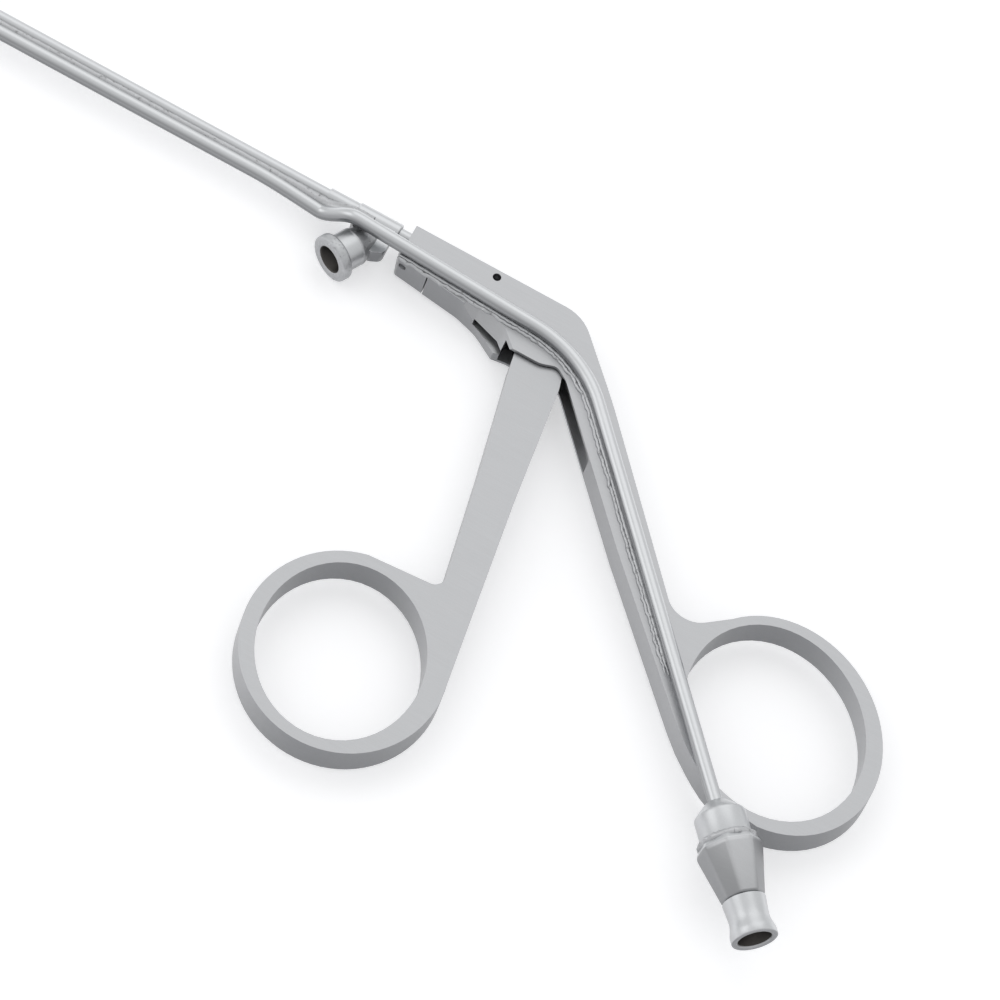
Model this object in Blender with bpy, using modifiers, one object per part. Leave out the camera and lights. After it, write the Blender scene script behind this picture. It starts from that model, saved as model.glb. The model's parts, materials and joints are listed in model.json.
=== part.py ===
"""Laryngeal forceps with a suction tube, lying on their far side.

+X runs back along the shaft from the jaws to the handles, +Y points away from the
finger rings and +Z points up out of the flat near face. Drawn sizes are millimetres:
X = 0 is just in front of the handle frame, Y = 0 is the shaft's axis and Z = 0 is the
mid-plane of the handles. DATUM is the point on the far face that becomes the origin.
"""
import math

import bmesh
import bpy
from mathutils import Matrix, Vector

MM = 0.001
OBJECT_NAME = "laryngeal_forceps"

# Thicknesses of the handles, the lever's tongue and the slot that it swings in
PLATE = 5.2
TONGUE = 3.7
SLOT = 4.1
DATUM = (5.0, 0.0, -PLATE / 2)

# Clearances: round a moving pin or a tube, round a fixed pin, round the jaw's drive pin,
# and between soldered pieces
FIT = 0.1
PIN_FIT = 0.05
JAW_FIT = 0.12
SEAT = 0.1

# Shaft, rod and suction tube, which sways aside and rises onto the near face at the collar
# and is bent there where its two runs cross
SHAFT_R = 1.1
SHAFT_BORE_R = 0.8
SHAFT_TIP_X = -218.3
SHAFT_END_X = 8.4
ROD_R = 0.5
TUBE_R = 1.15
TUBE_WALL = 0.3
TUBE_Y = -(SHAFT_R + TUBE_R + 0.13)
TUBE_Z = PLATE / 2 + TUBE_R + SEAT
TUBE_SWAY_X = (-25.0, -6.0)
TUBE_RISE_X = (-13.0, -6.8)
TUBE_ON_FRAME_Y = -3.56
TUBE_BEND = (34.3, -5.75, 21.0)

# Lever linkage: the pivot, the drive pin on the arm above it, and the closing angle
PIVOT = (27.0, -4.9)
PIVOT_R = 0.8
CLOSING = math.radians(18.0)
ARM = 2.6
HALF_TRAVEL = ARM * math.sin(CLOSING / 2)
DRIVE_PIN = (PIVOT[0] + HALF_TRAVEL, PIVOT[1] + ARM * math.cos(CLOSING / 2))
DRIVE_PIN_R = 0.45
YOKE = 1.4
TONGUE_END_Y = -21.0
ROD_HEAD = 0.9
ROD_HEAD_R = 0.8
ROD_SLOT = ROD_HEAD + 2 * FIT
POCKET_X = 22.6
POCKET_TOP = -0.9

# Flats on the near cheek's lower edge: where they meet the near face, and their slope
CHEEK_FLATS = [(14.2, -6.4), (16.7, -5.69), (21.38, -7.3), (25.4, -11.21)]
CHEEK_SLOPE = 0.85

# Pin of the rod head at rest, and the round hole that shows it half way through its travel
ACCESS_X = 16.4
ACCESS_R = 0.68
HEAD_PIN = (ACCESS_X + HALF_TRAVEL, 0.0)
HEAD_PIN_R = 0.3
ROD_PAST_PIN = 1.1
HUB_BACK = 2.2

# Front of the body: rounded underside, the insert in it and the insert's small pin
UNDERSIDE_R = 1.7
UNDERSIDE_END = 15.5
NOSE_TOP = -2.45
NOSE_END_X = 7.08
NOSE_PIN = (2.8, 0.7)
NOSE_PIN_R = 0.55

# Jaws: the housing on the shaft's tip, the pivot, the opening at rest and the tail's arm,
# which makes the rod's travel close them
HOUSING_R = SHAFT_R + 0.5
HOUSING_X = (SHAFT_TIP_X - 6.1, SHAFT_TIP_X + 2.3)
JAW_SLOT = 2.0
JAW_PIVOT = (SHAFT_TIP_X - 3.2, -0.6)
JAW_PIVOT_R = 0.4
JAW_OPENING = math.radians(40.0)
JAW_ARM = HALF_TRAVEL / math.sin(JAW_OPENING / 2)
JAW_PIN = (JAW_PIVOT[0] + HALF_TRAVEL, JAW_PIVOT[1] + JAW_ARM * math.cos(JAW_OPENING / 2))
JAW_PIN_R = 0.3
JAW_R = 1.4
JAW_LENGTH = 11.5
JAW_TIP_X = JAW_PIVOT[0] - JAW_LENGTH
JAW_GAP = 0.2
TAIL = 0.9
ROD_EYE = 0.45
ROD_EYE_Z = 0.28
TOOTH_PITCH = 1.0
TOOTH_DEPTH = 0.35

# Finger rings: centre, half axes and the direction of the long axis in degrees
REAR_OPENING = (87.4, -46.3, 16.7, 13.9, -49.9)
REAR_RING = (88.0, -46.4, 18.7, 15.9, -46.0)
FRONT_OPENING = (25.7, -71.5, 15.2, 13.0, -75.7)
FRONT_RING = (26.2, -71.3, 17.2, 16.1, -74.0)
RING_EDGE = 0.45
SHANK_EDGE = 0.7

# Cleaning port: where it sits on the collar's boss, and its slant towards the tip
PORT_SEAT = (-5.0, -5.24)
PORT_SLANT = math.radians(26.5)
PORT_BARREL_R = 3.1
FLANGE_R = 3.9
FLANGE_LENGTH = 1.9
PORT_LENGTH = 5.6
PORT_BOSS = 2.8
LUER_R = 2.15
FLUSH_R = 0.7
COLLAR_R = SHAFT_R + 0.52
COLLAR_LENGTH = 12.6
COLLAR_STEP = 5.3
COLLAR_END_X = -0.3

# Suction connector: where the tube enters it, its direction on the near face, and the tilt
# of the cone's upper edge away from the rear ring
SUCTION_ENTRY = (85.59, -64.27)
SUCTION_ANGLE = math.radians(-49.2)
FERRULE_R = 4.0
FERRULE_LENGTH = 6.2
TUBE_IN_FERRULE = 3.0
CONE_LENGTH = 9.9
CONE_SHOULDER = 1.7
CONE_R = (5.25, 3.42)
CONE_TILT = math.radians(18.4)
MOUTH_LENGTH = 6.45
MOUTH_R = (3.12, 3.6)
MOUTH_BORE_R = 2.6

STEEL = (0.62, 0.63, 0.645, 1.0)
BRIGHT_STEEL = (0.72, 0.73, 0.74, 1.0)
DARK_STEEL = (0.45, 0.46, 0.47, 1.0)


def clear_scene():
    """Remove the objects that the file opens with."""
    for old in list(bpy.data.objects):
        bpy.data.objects.remove(old, do_unlink=True)


def make_collection(name):
    """Return a new collection linked to the scene."""
    group = bpy.data.collections.new(name)
    bpy.context.scene.collection.children.link(group)
    return group


def steel(name, color, roughness):
    """Return a metal material."""
    material = bpy.data.materials.new(name)
    material.use_nodes = True
    shader = material.node_tree.nodes["Principled BSDF"]
    shader.inputs["Base Color"].default_value = color
    shader.inputs["Roughness"].default_value = roughness
    shader.inputs["Metallic"].default_value = 1.0
    return material


def rounded(corners, step=math.radians(9.0)):
    """Outline points of a polygon whose (x, y, radius) corners are rounded."""
    points = []
    for index, (x, y, radius) in enumerate(corners):
        corner = Vector((x, y))
        before = (Vector(corners[index - 1][:2]) - corner).normalized()
        after = (Vector(corners[(index + 1) % len(corners)][:2]) - corner).normalized()
        turn = math.pi - before.angle(after)
        if radius == 0 or turn < 1e-3:
            points.append((x, y))
            continue
        reach = radius * math.tan(turn / 2)
        center = corner + (before + after).normalized() * radius / math.cos(turn / 2)
        start = corner + before * reach - center
        side = 1 if before.cross(after) < 0 else -1
        count = max(2, math.ceil(turn / step))
        for part in range(count + 1):
            arm = start.copy()
            arm.rotate(Matrix.Rotation(side * turn * part / count, 2))
            points.append(tuple(center + arm))
    return points


def oval(ring, start=0.0, end=360.0, count=60):
    """Points on a ring's oval from one angle to another, in degrees about its centre."""
    x, y, long_half, short_half, turn = ring
    turn = math.radians(turn)
    points = []
    for part in range(count + 1 if abs(end - start) < 360 else count):
        angle = math.radians(start + (end - start) * part / count) - turn
        radius = 1 / math.hypot(math.cos(angle) / long_half, math.sin(angle) / short_half)
        points.append((x + radius * math.cos(angle + turn), y + radius * math.sin(angle + turn)))
    return points


def new_mesh(name, bm):
    """Make an object of a bmesh drawn in millimetres."""
    bmesh.ops.scale(bm, vec=(MM, MM, MM), verts=bm.verts)
    bmesh.ops.recalc_face_normals(bm, faces=bm.faces)
    mesh = bpy.data.meshes.new(name)
    bm.to_mesh(mesh)
    bm.free()
    return bpy.data.objects.new(name, mesh)


def plate(name, outline, thickness, level=0.0):
    """A flat plate with the given outline, centred on a level."""
    bm = bmesh.new()
    face = bm.faces.new([bm.verts.new((x, y, level - thickness / 2)) for x, y in outline])
    grown = bmesh.ops.extrude_face_region(bm, geom=[face])["geom"]
    top = [item for item in grown if isinstance(item, bmesh.types.BMVert)]
    bmesh.ops.translate(bm, vec=(0, 0, thickness), verts=top)
    return new_mesh(name, bm)


def solid_of_curve(name, curve):
    """Turn a curve into a welded mesh object."""
    source = bpy.data.objects.new(name + "_curve", curve)
    bpy.context.scene.collection.objects.link(source)
    bpy.context.view_layer.update()
    evaluated = source.evaluated_get(bpy.context.evaluated_depsgraph_get())
    mesh = bpy.data.meshes.new_from_object(evaluated)
    bm = bmesh.new()
    bm.from_mesh(mesh)
    bmesh.ops.remove_doubles(bm, verts=bm.verts, dist=1e-6)
    bmesh.ops.recalc_face_normals(bm, faces=bm.faces)
    bm.to_mesh(mesh)
    bm.free()
    bpy.data.objects.remove(source, do_unlink=True)
    return bpy.data.objects.new(name, mesh)


def cylinder(name, start, end, radius, sides=24):
    """A cylinder between two points."""
    start, end = Vector(start), Vector(end)
    bm = bmesh.new()
    bmesh.ops.create_cone(bm, cap_ends=True, segments=sides, radius1=radius, radius2=radius,
                          depth=(end - start).length)
    turn = (end - start).to_track_quat("Z", "Y").to_matrix().to_4x4()
    bm.transform(Matrix.Translation((start + end) / 2) @ turn)
    return new_mesh(name, bm)


def cross_pin(name, place, half_length, radius, sides=24):
    """A pin across the plate, centred on the mid-plane."""
    x, y = place
    return cylinder(name, (x, y, -half_length), (x, y, half_length), radius, sides)


def box(name, low, high):
    """A box between two corners."""
    low, high = Vector(low), Vector(high)
    bm = bmesh.new()
    bmesh.ops.create_cube(bm, size=1.0)
    bmesh.ops.scale(bm, vec=high - low, verts=bm.verts)
    bmesh.ops.translate(bm, vec=(low + high) / 2, verts=bm.verts)
    return new_mesh(name, bm)


def cross_prism(name, profile, low_x, high_x):
    """A prism along X with a profile of (height above the mid-plane, Y) pairs."""
    prism = plate(name, [(-height, y) for height, y in profile], high_x - low_x, 0)
    turn = Matrix.Rotation(math.radians(90), 4, "Y")
    shift = Matrix.Translation(Vector(((low_x + high_x) / 2, 0, 0)) * MM)
    prism.data.transform(shift @ turn)
    return prism


def wedge(name, line, slope, low_z, high_z, reach):
    """A solid below a line on the near face, whose front slopes back towards low_z."""
    bm = bmesh.new()
    for z in (low_z, high_z):
        for x, y in line:
            bm.verts.new((x, y + slope * (z - PLATE / 2), z))
        for x, y in (line[0], line[-1]):
            bm.verts.new((x, line[-1][1] - reach, z))
    bmesh.ops.convex_hull(bm, input=bm.verts)
    return new_mesh(name, bm)


def turned(name, profile, start, direction, steps=36, facing=None):
    """A turned piece: (radius, distance) pairs down its outer side, then back inside.

    With few steps it is many-sided, and one of its edges can face a given way.
    """
    bm = bmesh.new()
    rim = [bm.verts.new((radius, 0, -distance)) for radius, distance in profile]
    for first, second in zip(rim, rim[1:]):
        bm.edges.new((first, second))
    bm.edges.new((rim[-1], rim[0]))
    bmesh.ops.scale(bm, vec=(MM, MM, MM), verts=bm.verts)
    mesh = bpy.data.meshes.new(name)
    bm.to_mesh(mesh)
    bm.free()
    obj = bpy.data.objects.new(name, mesh)
    turn = Vector(direction).to_track_quat("-Z", "Y").to_matrix()
    if facing:
        edge = turn.inverted() @ Vector(facing)
        turn = turn @ Matrix.Rotation(math.atan2(edge.y, edge.x), 3, "Z")
    obj.matrix_world = Matrix.Translation(Vector(start) * MM) @ turn.to_4x4()
    screw = obj.modifiers.new("Turn", "SCREW")
    screw.steps = screw.render_steps = steps
    screw.use_merge_vertices = True
    screw.merge_threshold = 0.00001
    screw.use_smooth_shade = True
    return obj


def cut(obj, *cutters, operation="DIFFERENCE"):
    """Cut a piece with cutters, or join them to it, and keep them as modifiers."""
    for cutter in cutters:
        cutter_collection.objects.link(cutter)
        cutter.parent = datum
        cutter.hide_render = True
        cutter.display_type = "WIRE"
        modifier = obj.modifiers.new(cutter.name, "BOOLEAN")
        modifier.object = cutter
        modifier.operation = operation
        modifier.solver = "EXACT"
    return obj


def join(obj, *others):
    """Join overlapping pieces into one body."""
    return cut(obj, *others, operation="UNION")


def chamfer(obj, width, segments=1, angle=40.0):
    """Break the sharp edges of a piece."""
    bevel = obj.modifiers.new("Edges", "BEVEL")
    bevel.width = width * MM
    bevel.segments = segments
    bevel.limit_method = "ANGLE"
    bevel.angle_limit = math.radians(angle)
    bevel.harden_normals = False
    return obj


def add(obj, material, origin=None):
    """Put a finished piece in the object's collection, with its origin on a joint's axis."""
    if origin:
        shift = Vector((origin[0], origin[1], origin[2])) * MM
        obj.data.transform(Matrix.Translation(-shift))
        obj.location = shift
    part_collection.objects.link(obj)
    obj.parent = datum
    obj.data.materials.append(material)
    if not any(modifier.type == "SCREW" for modifier in obj.modifiers):
        obj.data.shade_smooth()
        obj.data.set_sharp_from_angle(angle=math.radians(35.0))
    return obj


def frame_outline():
    """Side outline of the body, the rear shank and the outside of the rear ring."""
    top = SHAFT_R + 0.2
    body = rounded([
        (1.0, -2.6, 0), (1.9, -5.3, 0.5), (13.9, -6.9, 9), (17.6, -8.0, 9), (21.6, -10.5, 0.5),
        (24.0, -10.1, 3), (29.0, -10.1, 4), (31.6, -9.1, 1.5), (33.7, -10.5, 2),
        (53.6, -32.8, 120), (76.4, -56.7, 40), (84.0, -62.2, 20), (91.0, -64.0, 0)])
    ring = oval(REAR_RING, -75, 138, 46)
    back = rounded([ring[-1] + (0,), (67.3, -39.8, 4.7), (41.5, -9.8, 90), (31.0, top, 7.0),
                    (1.6, top, 0.2), (1.0, -2.6, 0)])
    return body[1:-1] + ring + back[1:-1]


def rear_opening():
    """Opening of the rear ring, flattened where the shank runs past it."""
    along = Vector((math.cos(SUCTION_ANGLE), math.sin(SUCTION_ANGLE)))
    across = Vector((-along.y, along.x))
    shank_side = Vector(SUCTION_ENTRY).dot(across) + SHANK_EDGE
    points = []
    for x, y in oval(REAR_OPENING, count=64):
        short = shank_side - Vector((x, y)).dot(across)
        points.append(tuple(Vector((x, y)) + across * short) if short > 0 else (x, y))
    return points


def round_underside(obj):
    """Round the lower edges of the body in front of the lever slot."""
    bm = bmesh.new()
    bm.from_mesh(obj.data)
    edges = [edge for edge in bm.edges
             if all(vert.co.y < -4.9 * MM and vert.co.x < UNDERSIDE_END * MM for vert in edge.verts)
             and abs(edge.verts[0].co.z - edge.verts[1].co.z) < 1e-6]
    bmesh.ops.bevel(bm, geom=edges, offset=UNDERSIDE_R * MM, segments=4, profile=0.5,
                    affect="EDGES", clamp_overlap=True)
    bm.to_mesh(obj.data)
    bm.free()


def along_tube(name, start, end, radius):
    """A cylinder round the suction tube's last stretch, from one distance to another."""
    entry = Vector(SUCTION_ENTRY + (TUBE_Z,))
    along = Vector((math.cos(SUCTION_ANGLE), math.sin(SUCTION_ANGLE), 0))
    return cylinder(name, entry + along * start, entry + along * end, radius, 40)


def rod_slot_outline():
    """Narrow slot that the rod head moves in, open from below behind the access hole."""
    start, end = SHAFT_END_X + 0.6, PIVOT[0] + 1.6
    low, high = -ROD_HEAD_R - 0.9, ROD_HEAD_R + 0.05
    return rounded([
        (start, low, 0), (ACCESS_X + 0.2, low, 0), (ACCESS_X + 0.2, -14.0, 0),
        (POCKET_X + 2.0, -14.0, 0), (end, -3.0, 0), (end, high, 0.8), (start, high, 0)])


def lever_pocket_outline():
    """Wide slot from below that the lever and its arm move in."""
    x, y = PIVOT
    return rounded([
        (POCKET_X, POCKET_TOP, 1.0), (POCKET_X, -15.0, 0), (38.0, -26.0, 0), (43.4, -20.6, 0),
        (x + 9.6, y - 3.5, 2.5), (x + 4.4, POCKET_TOP, 2.0)])


def make_handle_frame():
    """Body, rear shank and rear ring: one forged piece, slotted for the front handle."""
    frame = plate("handle_frame", frame_outline(), PLATE)
    round_underside(frame)
    cut(frame, plate("rear_opening_cutter", rear_opening(), 2 * PLATE))
    chamfer(frame, RING_EDGE, 2)
    rod_slot = plate("rod_slot_cutter", rod_slot_outline(), ROD_SLOT)
    hub_bore = cylinder("hub_bore_cutter", (SHAFT_END_X + 0.5, 0, 0),
                        (HEAD_PIN[0] + HUB_BACK + 2 * FIT, 0, 0), ROD_HEAD_R + FIT, 20)
    pocket = plate("lever_pocket_cutter", lever_pocket_outline(), SLOT)
    cheek_flats = wedge("cheek_flats_cutter", CHEEK_FLATS, CHEEK_SLOPE, ROD_SLOT / 2 - 0.05,
                        PLATE / 2 + 1.0, 5.0)
    shaft_socket = cylinder("shaft_socket_cutter", (-2, 0, 0), (SHAFT_END_X + 1.2, 0, 0),
                            SHAFT_R + FIT, 20)
    pivot_hole = cross_pin("pivot_hole_cutter", PIVOT, PLATE, PIVOT_R + FIT)
    access_hole = cylinder("access_hole_cutter", (ACCESS_X, 0, 0), (ACCESS_X, 0, PLATE), ACCESS_R)
    nose_seat = box("nose_seat_cutter", (-2, -9, -PLATE),
                    (NOSE_END_X + SEAT + 0.1, NOSE_TOP + SEAT + 0.15, PLATE))
    relief = along_tube("ferrule_relief_cutter", -0.2, FERRULE_LENGTH + 4, FERRULE_R + 3 * SEAT)
    cut(frame, rod_slot, hub_bore, pocket, cheek_flats, shaft_socket, pivot_hole, access_hole,
        nose_seat, relief)
    add(frame, materials["steel"])


def make_nose_insert():
    """Insert that closes the front of the frame from below, held by a cross pin."""
    outline = rounded([(1.05, NOSE_TOP, 0), (1.9, -5.3, 0.5), (NOSE_END_X, -5.99, 0),
                       (NOSE_END_X, NOSE_TOP, 0)])
    insert = plate("nose_insert", outline, PLATE)
    round_underside(insert)
    chamfer(insert, 0.3)
    x, z = NOSE_PIN
    head, end = -5.0, -3.52
    seat = cylinder("nose_pin_cutter", (x, head - 2, z), (x, end + FIT, z), NOSE_PIN_R + FIT, 20)
    cut(insert, seat)
    add(insert, materials["steel"])
    add(cylinder("nose_pin", (x, head, z), (x, end, z), NOSE_PIN_R, 20), materials["bright"])


def front_outline():
    """Side outline of the lever and the outside of its ring."""
    x, y = PIVOT
    top = y + ARM + 1.05
    right = rounded([
        (x - 0.4, top, 0), (x + 1.5, top - 0.1, 0.8), (x + 2.9, y + 0.3, 2.5),
        (x + 5.6, y - 3.9, 3.0), (x + 6.6, y - 7.3, 12), (36.6, -34.5, 120), (41.9, -67.5, 0)])
    ring = oval(FRONT_RING, 13, -255, 60)
    left = rounded([ring[-1] + (0,), (33.9, -53.7, 1.8), (29.4, -31.5, 120),
                    (x - 1.9, y - 7.3, 8), (x - 2.7, y - 2.7, 2.0), (x - 0.4, top, 0.7)])
    return right[:-1] + ring + left[1:-1]


def make_front_handle():
    """Lever with the front ring, thinned at the top where it runs between the cheeks."""
    lever = plate("front_handle", front_outline(), PLATE)
    cut(lever, plate("front_opening_cutter", oval(FRONT_OPENING), 2 * PLATE))
    chamfer(lever, RING_EDGE, 2)
    x, y = PIVOT
    for name, side in (("near_taper_cutter", 1), ("far_taper_cutter", -1)):
        tongue, full, past = side * TONGUE / 2, side * (PLATE / 2 + 0.1), side * PLATE
        taper = [(tongue, y + ARM + 4), (tongue, TONGUE_END_Y), (full, TONGUE_END_Y - 9),
                 (past, TONGUE_END_Y - 9), (past, y + ARM + 4)]
        cut(lever, cross_prism(name, taper, x - 7, x + 18))
    low, high = y + PIVOT_R + FIT + 0.4, y + ARM + 4
    yoke = plate("yoke_slit_cutter", [(x - 5, low), (x + 5, low), (x + 5, high), (x - 5, high)],
                 YOKE)
    cut(lever, yoke, cross_pin("lever_pivot_cutter", PIVOT, PLATE, PIVOT_R + FIT),
        cross_pin("lever_drive_cutter", DRIVE_PIN, PLATE, DRIVE_PIN_R + PIN_FIT, 16))
    add(lever, materials["steel"], PIVOT + (0,))


def make_lever_pins():
    """Pivot pin through both cheeks, and the drive pin in the lever's forked arm."""
    pivot = cross_pin("handle_pivot_pin", PIVOT, PLATE / 2 - 0.03, PIVOT_R)
    add(pivot, materials["bright"])
    drive = cross_pin("drive_pin", DRIVE_PIN, TONGUE / 2, DRIVE_PIN_R, 16)
    add(drive, materials["bright"], PIVOT + (0,))


def make_rod_head():
    """Slotted head that the drive pin pushes, pinned on the rod's end."""
    pin_x, pin_y = DRIVE_PIN
    x = HEAD_PIN[0]
    head = plate("rod_head", rounded([
        (x - 3.8, -0.9, 0.3), (pin_x - 2.4, -0.9, 0.5), (pin_x - 1.2, pin_y - 0.87, 0.6),
        (pin_x + 1.1, pin_y - 0.87, 0.6), (pin_x + 1.1, -0.4, 0.8), (pin_x + 0.2, 0.6, 0.3),
        (x - 3.8, 0.6, 0.3)]), ROD_HEAD)
    hub = cylinder("rod_head_hub", (x - 4.4, 0, 0), (x + HUB_BACK, 0, 0), ROD_HEAD_R, 20)
    bore = cylinder("rod_head_bore", (x - 7, 0, 0), (x + ROD_PAST_PIN + FIT, 0, 0),
                    ROD_R + PIN_FIT, 16)
    wide = DRIVE_PIN_R + 0.08
    high = wide + ARM * (1 - math.cos(CLOSING / 2)) + PIN_FIT
    drive_slot = plate("drive_slot_cutter", rounded([
        (pin_x - wide, pin_y - high, 0.5), (pin_x + wide, pin_y - high, 0.5),
        (pin_x + wide, pin_y + high, 0.5), (pin_x - wide, pin_y + high, 0.5)]), 3)
    join(head, hub)
    cut(head, bore, drive_slot,
        cross_pin("head_pin_cutter", HEAD_PIN, 3, HEAD_PIN_R + PIN_FIT, 12))
    add(head, materials["dark"])
    add(cross_pin("rod_head_pin", HEAD_PIN, ROD_HEAD_R - 0.08, HEAD_PIN_R, 12),
        materials["bright"])


def make_drive_rod():
    """Long rod with a flat eye beside the upper jaw's tail."""
    start = JAW_PIVOT[0] + 1.5
    rod = cylinder("drive_rod", (start, 0, 0), (HEAD_PIN[0] + ROD_PAST_PIN, 0, 0), ROD_R, 16)
    x, y = JAW_PIN
    low = JAW_PIVOT[1] + JAW_PIVOT_R + FIT
    tab = plate("rod_tab", rounded([
        (x - 0.5, low, 0.2), (start + 0.3, low, 0), (start + 0.9, low - 0.3, 0),
        (start + 0.9, 0.4, 0), (x + 0.6, y + 0.42, 0.3), (x - 0.5, y + 0.42, 0.35)]),
        ROD_EYE, ROD_EYE_Z)
    join(rod, tab)
    cut(rod, cross_pin("rod_end_hole_cutter", HEAD_PIN, 3, HEAD_PIN_R + PIN_FIT, 12),
        cross_pin("rod_tab_hole_cutter", JAW_PIN, 3, JAW_PIN_R + PIN_FIT, 12))
    add(rod, materials["dark"])
    add(cross_pin("jaw_drive_pin", JAW_PIN, JAW_SLOT / 2 - FIT, JAW_PIN_R, 12),
        materials["bright"])


def make_shaft():
    """Outer shaft tube and the collar that carries the cleaning port."""
    length = SHAFT_END_X - SHAFT_TIP_X
    shaft = turned("shaft_tube", [(SHAFT_R, 0), (SHAFT_R, length), (SHAFT_BORE_R, length),
                                  (SHAFT_BORE_R, 0)], (SHAFT_TIP_X, 0, 0), (1, 0, 0), 28)
    add(shaft, materials["bright"])
    collar = turned("shaft_collar", [
        (SHAFT_R + 0.28, 0), (SHAFT_R + 0.32, COLLAR_STEP - 0.2), (COLLAR_R, COLLAR_STEP),
        (COLLAR_R, COLLAR_LENGTH - 0.2), (COLLAR_R - 0.12, COLLAR_LENGTH),
        (SHAFT_R / 2, COLLAR_LENGTH), (SHAFT_R / 2, 0)],
        (COLLAR_END_X - COLLAR_LENGTH, 0, 0), (1, 0, 0), 28)
    boss = plate("port_boss", rounded([
        (-7.2, -0.7, 0), (-7.6, -2.9, 0.4), (-6.2, -4.6, 0.6), (-2.6, -6.3, 1.0),
        (-0.6, -5.2, 1.2), (-0.85, -0.7, 0)]), PORT_BOSS)
    shaft_hole = cylinder("collar_bore_cutter", (COLLAR_END_X - COLLAR_LENGTH - 2, 0, 0),
                          (COLLAR_END_X + 2, 0, 0), SHAFT_R + FIT, 28)
    join(collar, boss)
    cut(collar, shaft_hole)
    add(collar, materials["steel"])


def make_cleaning_port():
    """Female lock fitting with a lugged flange, slanted towards the tip."""
    direction = Vector((-math.sin(PORT_SLANT), -math.cos(PORT_SLANT), 0))
    start = Vector(PORT_SEAT + (0,))
    flange = PORT_LENGTH - FLANGE_LENGTH
    port = turned("cleaning_port", [
        (PORT_BARREL_R - 1.1, 0), (PORT_BARREL_R - 0.9, 0.25), (PORT_BARREL_R - 0.2, 0.5),
        (PORT_BARREL_R, 0.75), (PORT_BARREL_R, flange), (FLANGE_R - 0.2, flange + 0.15),
        (FLANGE_R, flange + 0.35), (FLANGE_R, PORT_LENGTH - 0.2),
        (FLANGE_R - 0.2, PORT_LENGTH), (LUER_R + 0.25, PORT_LENGTH),
        (LUER_R, PORT_LENGTH - 0.25), (LUER_R - 0.2, 1.4), (FLUSH_R, 1.2), (FLUSH_R, 0)],
        start, direction, 44)
    add(port, materials["steel"])


def tube_route():
    """Centre line of the suction tube, from its tip to the suction connector."""
    def eased(x, stretch):
        share = min(1.0, max(0.0, (x - stretch[0]) / (stretch[1] - stretch[0])))
        return share * share * (3 - 2 * share)

    ramp_start, ramp_end = TUBE_SWAY_X
    ramp = []
    for part in range(21):
        x = ramp_start + (ramp_end - ramp_start) * part / 20
        ramp.append((x, TUBE_Y + (TUBE_ON_FRAME_Y - TUBE_Y) * eased(x, TUBE_SWAY_X),
                     TUBE_Z * eased(x, TUBE_RISE_X)))
    along = Vector((math.cos(SUCTION_ANGLE), math.sin(SUCTION_ANGLE)))
    end = Vector(SUCTION_ENTRY) + along * TUBE_IN_FERRULE
    flat = rounded([(ramp_end + 1.0, TUBE_ON_FRAME_Y - 0.06, 0), TUBE_BEND, tuple(end) + (0,)],
                   math.radians(7.0))
    return ([(HOUSING_X[1] + 0.6, TUBE_Y, 0)] + ramp + [(x, y, TUBE_Z) for x, y in flat])


def make_suction_tube():
    """Thin-walled tube under the shaft, over the frame and down the rear shank."""
    curve = bpy.data.curves.new("suction_tube", "CURVE")
    curve.dimensions = "3D"
    curve.bevel_depth = TUBE_R * MM
    curve.bevel_resolution = 4
    curve.use_fill_caps = False
    route = tube_route()
    spline = curve.splines.new("POLY")
    spline.points.add(len(route) - 1)
    for point, place in zip(spline.points, route):
        point.co = tuple(value * MM for value in place) + (1,)
    tube = solid_of_curve("suction_tube", curve)
    wall = tube.modifiers.new("Wall", "SOLIDIFY")
    wall.thickness = TUBE_WALL * MM
    wall.offset = -1.0
    add(tube, materials["bright"])


def make_suction_connector():
    """Ferrule, faceted cone and locking mouth at the end of the suction tube."""
    along = Vector((math.cos(SUCTION_ANGLE), math.sin(SUCTION_ANGLE), 0))
    entry = Vector(SUCTION_ENTRY + (TUBE_Z,))
    bore = TUBE_R + FIT
    ferrule = turned("connector_ferrule", [
        (0.42 * FERRULE_R, 0), (0.78 * FERRULE_R, 1.3), (FERRULE_R, 2.3),
        (FERRULE_R, FERRULE_LENGTH), (bore, FERRULE_LENGTH), (bore, 0)], entry, along, 40)
    add(ferrule, materials["steel"])
    wide, narrow = CONE_R
    cone_start = FERRULE_LENGTH + SEAT
    away = Vector((along.y, -along.x, 0))
    upper_edge = away * math.sin(CONE_TILT) + Vector((0, 0, math.cos(CONE_TILT)))
    body = turned("connector_body", [
        (0.82 * wide, 0), (wide, CONE_SHOULDER), (narrow, CONE_LENGTH - 0.15),
        (narrow - 0.15, CONE_LENGTH), (bore, CONE_LENGTH), (bore, 0)],
        entry + along * cone_start, along, 8, upper_edge)
    add(body, materials["steel"])
    neck, rim = MOUTH_R
    mouth_start = cone_start + CONE_LENGTH + SEAT
    lip = MOUTH_LENGTH - 1.2
    mouth = turned("connector_mouth", [
        (narrow - 0.05, 0), (neck + 0.1, 1.6), (neck, lip - 2.1), (rim - 0.06, lip - 0.1),
        (rim, lip + 0.2), (rim, MOUTH_LENGTH - 0.15), (rim - 0.12, MOUTH_LENGTH),
        (MOUTH_BORE_R + 0.2, MOUTH_LENGTH), (MOUTH_BORE_R, MOUTH_LENGTH - 0.25),
        (MOUTH_BORE_R - 0.4, 1.4), (bore, 1.1), (bore, 0)],
        entry + along * mouth_start, along, 40)
    add(mouth, materials["steel"])


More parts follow.
